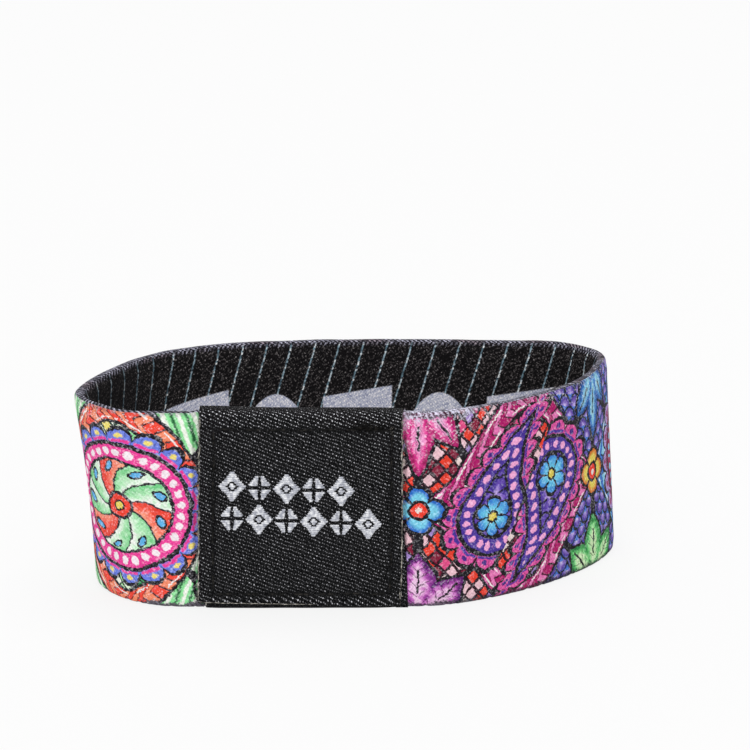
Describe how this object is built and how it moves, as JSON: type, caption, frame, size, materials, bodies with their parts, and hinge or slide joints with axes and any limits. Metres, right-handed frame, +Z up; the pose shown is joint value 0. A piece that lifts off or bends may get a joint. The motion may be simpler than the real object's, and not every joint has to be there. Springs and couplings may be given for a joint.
{
  "type": "fabric wristband",
  "caption": "Loop of printed elastic webbing standing on its edge, closed under a black woven label; stretches over the hand to sit on a wrist.",
  "frame": {"origin": "on the table, under the middle of the whole outline", "axes": "+X along the label to its right, +Y from the label to the back of the loop, +Z up"},
  "size_m": [0.068, 0.037, 0.0254],
  "materials": {
    "printed_webbing": "printed elastic webbing, many-coloured outside, black with grey pinstripes inside",
    "woven_label": "black woven satin tape with a pale grey woven ornament"
  },
  "bodies": {
    "root": {"elastic_band": "printed_webbing", "label": "woven_label"}
  },
  "joints": []
}
